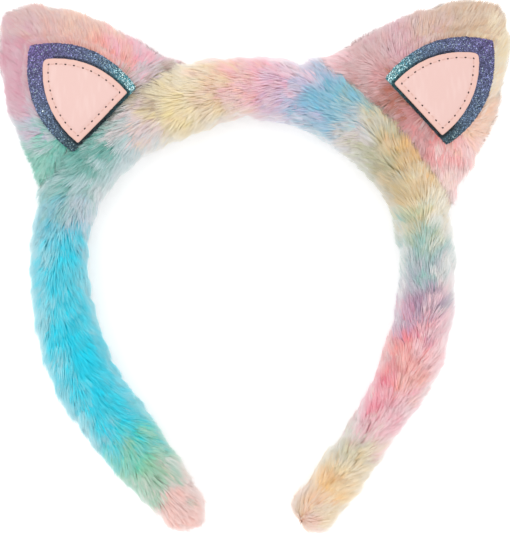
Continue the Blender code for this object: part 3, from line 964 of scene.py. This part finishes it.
# %% [markdown]
# ## The glitter film
#
# The film is cloth coated with thousands of tiny flakes. A noise texture could pretend to be flakes, but
# flat noise doesn't catch the light one flake at a time. Here the film itself is a remeshed copy of its
# solid, and real flakes, each a small tilted hexagon, are strewn over the part that the panel leaves
# open. The film shifts from violet at the ear's point to teal at the corner by the crown.
# Some flakes are given a painted glint, most near the corner by the crown, and flakes beside the panel a
# painted shade.

# %% The film and its flakes
FILM_VOXEL = 0.00045
FILM_SMOOTHING = 2
# How light the film is beside its flakes
FILM_LIGHT = 0.45
FLAKE_SEED = 51
FLAKES = 6000
FLAKE_CORNERS = 6
FLAKE_SIZE = 0.00023
SIZE_VARIES = (0.6, 1.25)
FLAKE_TILT = 0.42
FLAKE_LIFT = 0.00004
# A tilted flake is raised, so that it doesn't sink in
TILT_LIFT = 0.4
# Flakes start just under the panel's edge
UNDER_PANEL = -0.0012
FACES_ASIDE = -0.2
# Middle and spread of the exponent by which the light of flakes varies
TONE_VARIES = (-0.05, 0.45)
# Flakes with a painted glint: a pale colour as if they caught the light, most near the corner by the crown
GLINT_FLAKES = 0.08
CORNER_GLINT_FLAKES = 0.50
CORNER_REACH = 0.011
PAINTED_GLINT_COLOUR = (214, 242, 244)
PAINTED_GLINT = (0.25, 0.6)
CORNER_PAINTED_GLINT = 0.7
OWN_TONE = 0.5
# Close to the panel the flakes carry its painted shade, except by the ear's point
SHADE_FROM = 0.4
SHADE_BY_PANEL = 0.0014
SHADE_DEPTH = 0.85
SHADED_MUCH = 0.3
SHADED_WITHIN = 0.078
GLITTER_SPLASHES = splashes_of(
    ("violet", -86, 87, 9), ("indigo", -70, 87, 9), ("slate", -60, 82, 8),
    ("lagoon", -49, 73, 7), ("indigo", -87, 72, 8), ("slate", -82, 58, 8),
    ("pine", -71, 47, 6), ("pine", -58, 58, 7), ("violet", 93, 92, 6),
    ("indigo", 78, 91, 9), ("slate", 66, 87, 8), ("lagoon", 54, 77, 7),
    ("indigo", 92, 75, 8), ("slate", 86, 62, 8), ("pine", 76, 50, 6),
    ("pine", 64, 60, 7),
)
CROWN_CORNERS = {"left": (-0.0475, 0.0712), "right": (0.0520, 0.0752)}


def fine_copy(node, name, voxel, rounds):
    made = remeshed(node, name, voxel, rounds)
    bpy.ops.object.shade_smooth()
    return made


def strewn(name, film, outline, corner, seed):
    """Tilted hexagons on the top of the film, outside the panel's outline, joined in one mesh."""

    def left_open(places, normals):
        return (outside(outline, places) > UNDER_PANEL) & (normals[:, 2] > FACES_ASIDE)

    dice = np.random.default_rng(seed)
    places, normals, _ = scatter(film, FLAKES, dice, left_open)
    tilted = unit(normals + dice.normal(0, FLAKE_TILT, (FLAKES, 3)))
    across = unit(np.cross(tilted, dice.normal(size=(FLAKES, 3))))
    beside = np.cross(tilted, across)
    size = FLAKE_SIZE * dice.uniform(*SIZE_VARIES, FLAKES)
    places = places + normals * (FLAKE_LIFT + TILT_LIFT * FLAKE_TILT * size)[:, None]
    turns = (np.arange(FLAKE_CORNERS) * np.pi / 3)[None, :, None]
    rim = across[:, None] * np.cos(turns) + beside[:, None] * np.sin(turns)
    points = (places[:, None] + rim * size[:, None, None]).reshape(-1, 3)
    mesh = bpy.data.meshes.new(name)
    mesh.from_pydata(points, [], np.arange(FLAKES * FLAKE_CORNERS).reshape(-1, FLAKE_CORNERS).tolist())
    made = bpy.data.objects.new(name, mesh)
    bpy.context.scene.collection.objects.link(made)
    tone = dye_at(places, GLITTER_SPLASHES) * np.exp(dice.normal(*TONE_VARIES, (FLAKES, 1)))
    near = np.exp(-((np.linalg.norm(places[:, :2] - corner, axis=1) / CORNER_REACH) ** 2))
    # A share of the flakes gets a painted glint
    glinting = dice.random(FLAKES) < GLINT_FLAKES + CORNER_GLINT_FLAKES * near
    # Painted shade of the panel on the flakes beside it
    shaded = 1 - smooth_share(SHADE_FROM * SHADE_BY_PANEL, SHADE_BY_PANEL, outside(outline, places))
    crownwards = places[:, 0] * np.sign(corner[0]) < SHADED_WITHIN
    tone *= (1 - SHADE_DEPTH * shaded * crownwards)[:, None]
    glinting &= shaded < SHADED_MUCH
    # The painted glint mixes a pale colour into the flake's own
    lit = dice.uniform(*PAINTED_GLINT, FLAKES) + CORNER_PAINTED_GLINT * near * dice.random(FLAKES)
    tone[glinting] = tone[glinting] * OWN_TONE + light_values(PAINTED_GLINT_COLOUR) * lit[glinting][:, None]
    dyed(made, np.repeat(tone, FLAKE_CORNERS, axis=0))
    return made


films, flakes = {}, {}
for side in SIDES:
    films[side] = fine_copy("glitter_patch_" + side, "glitter_film_" + side, FILM_VOXEL, FILM_SMOOTHING)
    places = points_of(films[side].data)
    dyed(films[side], dye_at(places, GLITTER_SPLASHES) * FILM_LIGHT)
    flakes[side] = strewn(
        "glitter_flakes_" + side, films[side], PANEL_OUTLINES[side], CROWN_CORNERS[side],
        FLAKE_SEED + len(flakes),
    )
    print(films[side].name, len(places), "points and", FLAKES, "flakes")

# %% [markdown]
# ## The leatherette panels
#
# Each panel is a soft coated cloth, stitched to the film all round. The stitches pull it down, so it
# swells a little between them and curls down at its edge. Dents could be a bump texture, but then the
# exported shape would lose them, so the copy of the solid is remeshed finely and its points are moved.

# %% The panels and where their stitches lie
PANEL_VOXEL = 0.00036
PANEL_SMOOTHING = 3
EDGE_STEPS = 40
STITCH_INSET = 0.0022
STITCH_PITCH = 0.0037
DENT_DEPTH = 0.00034
DENT_REACH = 0.0008
SEAM_DEPTH = 0.00013
SEAM_REACH = 0.0009
PANEL_COLOUR = (222, 186, 179)
PANEL_EDGE_COLOUR = (222, 178, 164)
PANEL_SHEEN_COLOUR = (230, 200, 194)
EDGE_WIDTH = 0.0035
EDGE_SHARE = 0.7
# Painted sheen: fine lighter streaks along the cloth and broad lighter clouds over it
Shine = namedtuple("Shine", "size strength seed")
STREAKS = Shine(0.0016, 0.35, 61)
CLOUDS = Shine(0.012, 0.5, 62)
STREAK_STRETCH = (1, 0.12, 1)
SHEEN_SHARE = 0.4


def seam_line(outline):
    """The places of the holes, one of them at each corner, the way of the seam there, and its line."""
    after = np.roll(outline, -1, axis=0)
    steps = np.linspace(0, 1, EDGE_STEPS, endpoint=False)[None, :, None]
    edge = (outline[:, None] + (after - outline)[:, None] * steps).reshape(-1, 2)
    way = np.repeat(after - outline, EDGE_STEPS, axis=0)
    inwards = np.stack([-way[:, 1], way[:, 0]], 1) / np.linalg.norm(way, axis=1)[:, None]
    line = edge + inwards * STITCH_INSET
    line = line[outside(outline, line) < -STITCH_INSET * 0.995]
    far = line[np.argmax(np.linalg.norm(line - line.mean(0), axis=1))]
    other = line[np.argmax(np.linalg.norm(line - far, axis=1))]
    across = (line - far) @ np.array([-(other - far)[1], (other - far)[0]])
    corners = (far, other, line[np.argmax(np.abs(across))])
    starts = sorted(int(np.argmin(np.linalg.norm(line - corner, axis=1))) for corner in corners)
    line = np.roll(line, -starts[0], axis=0)
    line = np.concatenate([line, line[:1]])
    starts = [start - starts[0] for start in starts] + [len(line) - 1]
    reach = np.concatenate([[0], np.cumsum(np.linalg.norm(np.diff(line, axis=0), axis=1))])
    marks = []
    for low, high in zip(reach[starts[:-1]], reach[starts[1:]]):
        marks += np.linspace(low, high, round((high - low) / STITCH_PITCH), endpoint=False).tolist()
    places = np.stack([np.interp(marks, reach, line[:, k]) for k in (0, 1)], 1)
    ways = unit(np.roll(places, -1, axis=0) - np.roll(places, 1, axis=0))
    return places, ways, line


def panel_of(side):
    made = fine_copy("inner_panel_" + side, "leatherette_panel_" + side, PANEL_VOXEL, PANEL_SMOOTHING)
    places = points_of(made.data)
    holes, _, line = seam_line(PANEL_OUTLINES[side])
    to_hole = np.min(np.linalg.norm(places[:, None, :2] - holes[None], axis=2), axis=1)
    to_line = np.min(np.linalg.norm(places[:, None, :2] - line[None, ::8], axis=2), axis=1)
    front = normals_of(made.data)[:, 2] > 0
    drop = DENT_DEPTH * np.exp(-((to_hole / DENT_REACH) ** 2))
    drop += SEAM_DEPTH * np.exp(-((to_line / SEAM_REACH) ** 2))
    places[:, 2] -= drop * front
    set_points(made.data, places)
    edge = smooth_share(-EDGE_WIDTH, 0.0, outside(PANEL_OUTLINES[side], places))[:, None]
    # Painted sheen from the streaks and clouds
    shine = wave_noise(places * STREAK_STRETCH, STREAKS.size, STREAKS.seed) * STREAKS.strength
    shine += wave_noise(places, CLOUDS.size, CLOUDS.seed) * CLOUDS.strength
    colour = light_values(PANEL_COLOUR) * np.ones((len(places), 1))
    colour += (light_values(PANEL_SHEEN_COLOUR) - colour) * np.clip(shine, 0, 1)[:, None] * SHEEN_SHARE
    colour += (light_values(PANEL_EDGE_COLOUR) - colour) * edge * EDGE_SHARE
    dyed(made, colour)
    return made


panels = {side: panel_of(side) for side in SIDES}
print("points of the panels:", [len(panel.data.vertices) for panel in panels.values()])

# %% [markdown]
# ## Stitches
#
# The thread goes down through a punched hole and comes up at the next one, so each stitch is a short
# soft bar that dips at both ends. One bar and one hole are modelled once, from a cylinder and a ball,
# and a copy of each is laid along the seam. Laying them by hand would take longer and look less even
# than a sewing machine's work.

# %% One stitch and one hole
THREAD = 0.00019
STITCH_SHARE = 0.46
# The ends of a stitch dip by this many times the thread's radius
STITCH_DIP = 1.6
HOLE_SIZE = (0.00056, 0.00032, 0.00016)
HOLE_SINK = 0.00002
THREAD_COLOUR = (214, 174, 162)
# The holes are painted shade: a dark colour for the shadow inside each punched hole
HOLE_SHADE_COLOUR = (58, 34, 30)


def one_stitch(length):
    bpy.ops.object.select_all(action="DESELECT")
    bpy.ops.mesh.primitive_cylinder_add(
        vertices=8, radius=THREAD, depth=length, rotation=(0.0, math.pi / 2, 0.0)
    )
    made = bpy.context.active_object
    bpy.ops.object.transform_apply(location=True, rotation=True, scale=True)
    bpy.ops.object.mode_set(mode="EDIT")
    for cut in (-length / 4, length / 4):
        bpy.ops.mesh.select_all(action="SELECT")
        bpy.ops.mesh.bisect(plane_co=(cut, 0, 0), plane_no=(1, 0, 0))
    bpy.ops.object.mode_set(mode="OBJECT")
    places = points_of(made.data)
    places[:, 2] -= THREAD * STITCH_DIP * (2 * places[:, 0] / length) ** 4
    set_points(made.data, places)
    bpy.ops.object.shade_smooth()
    return made


def one_hole():
    bpy.ops.object.select_all(action="DESELECT")
    bpy.ops.mesh.primitive_uv_sphere_add(segments=12, ring_count=8, radius=1.0, scale=HOLE_SIZE)
    made = bpy.context.active_object
    bpy.ops.object.transform_apply(location=True, rotation=True, scale=True)
    bpy.ops.object.shade_smooth()
    return made


def laid_along(pattern, name, panel, places, ways, sink):
    """Copies of the pattern on the panel's surface, turned along the seam and joined in one piece."""
    tree = tree_of(panel.data)
    copies = []
    for place, way in zip(places, ways):
        spot, normal, _, _ = tree.ray_cast(Vector((*place, 1.0)), Vector((0, 0, -1)))
        ahead = Vector((*way, 0))
        ahead = (ahead - normal * ahead.dot(normal)).normalized()
        turn = Matrix((ahead, normal.cross(ahead), normal)).transposed().to_4x4()
        copy = pattern.copy()
        copy.data = pattern.data.copy()
        bpy.context.scene.collection.objects.link(copy)
        copy.matrix_world = Matrix.Translation(spot - normal * sink) @ turn
        copies.append(copy)
    bpy.ops.object.select_all(action="DESELECT")
    for copy in copies:
        copy.select_set(True)
    bpy.context.view_layer.objects.active = copies[0]
    bpy.ops.object.join()
    made = bpy.context.active_object
    bpy.ops.object.transform_apply(location=True, rotation=True, scale=True)
    made.name = made.data.name = name
    return made


# %% Sew both panels
threads, holes = {}, {}
for side, panel in panels.items():
    places, ways, _ = seam_line(PANEL_OUTLINES[side])
    stitch, hole = one_stitch(STITCH_PITCH * STITCH_SHARE), one_hole()
    after = np.roll(places, -1, axis=0)
    threads[side] = laid_along(
        stitch, "stitches_" + side, panel, (places + after) / 2, unit(after - places), sink=0.0
    )
    holes[side] = laid_along(hole, "stitch_holes_" + side, panel, places, ways, sink=HOLE_SINK)
    bpy.data.objects.remove(stitch)
    bpy.data.objects.remove(hole)
    print(side, "panel:", len(places), "stitches")

# %% [markdown]
# Glitter is bare metal under clear lacquer, so its flakes are half metallic and fairly smooth. The
# leatherette has a satin coat with a fine grain. The thread is matt, and the holes are dark with
# painted shade, for the shadow inside each punched hole.

# %% Finishes of film, panel and thread
GRAIN_SCALE = 2600.0
GRAIN_DETAIL = 3.0
GRAIN_DEPTH = 0.00002
GRAIN_STRENGTH = 0.6


def add_grain(finish):
    tree = finish.node_tree
    place = tree.nodes.new("ShaderNodeTexCoord")
    grain = tree.nodes.new("ShaderNodeTexNoise")
    grain.inputs["Scale"].default_value = GRAIN_SCALE
    grain.inputs["Detail"].default_value = GRAIN_DETAIL
    bump = tree.nodes.new("ShaderNodeBump")
    bump.inputs["Distance"].default_value = GRAIN_DEPTH
    bump.inputs["Strength"].default_value = GRAIN_STRENGTH
    tree.links.new(place.outputs["Object"], grain.inputs["Vector"])
    tree.links.new(grain.outputs["Fac"], bump.inputs["Height"])
    tree.links.new(bump.outputs["Normal"], shader_of(finish).inputs["Normal"])


film_finish = dyed_material("glitter_film", roughness=0.45, specular=0.4, metallic=0.3)
flake_finish = dyed_material("glitter_flakes", roughness=0.30, specular=0.5, metallic=0.5)
panel_finish = dyed_material("pink_leatherette", roughness=0.42, specular=0.35)
add_grain(panel_finish)
thread_finish = plain_material("thread", light_values(THREAD_COLOUR), roughness=0.8)
hole_shade_finish = plain_material("stitch_hole", light_values(HOLE_SHADE_COLOUR), roughness=0.9)
for side in SIDES:
    for piece, finish in (
        (films[side], film_finish),
        (flakes[side], flake_finish),
        (panels[side], panel_finish),
        (threads[side], thread_finish),
        (holes[side], hole_shade_finish),
    ):
        piece.data.materials.clear()
        piece.data.materials.append(finish)
print("finishes of the patches:", [f.name for f in (film_finish, flake_finish, panel_finish, thread_finish)])

# %% Where each piece belongs
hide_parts("band")
for piece in [band_padded.body] + fur:
    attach(piece, "root")
for side, padded in ears_padded.items():
    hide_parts("ear_" + side)
    for piece in (padded.body, ear_fur[side]):
        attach(piece, "root")

for side in OUTLINES:
    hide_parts("glitter_patch_" + side)
    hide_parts("inner_panel_" + side)
    for piece in (films[side], flakes[side], panels[side], threads[side], holes[side]):
        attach(piece, "root")
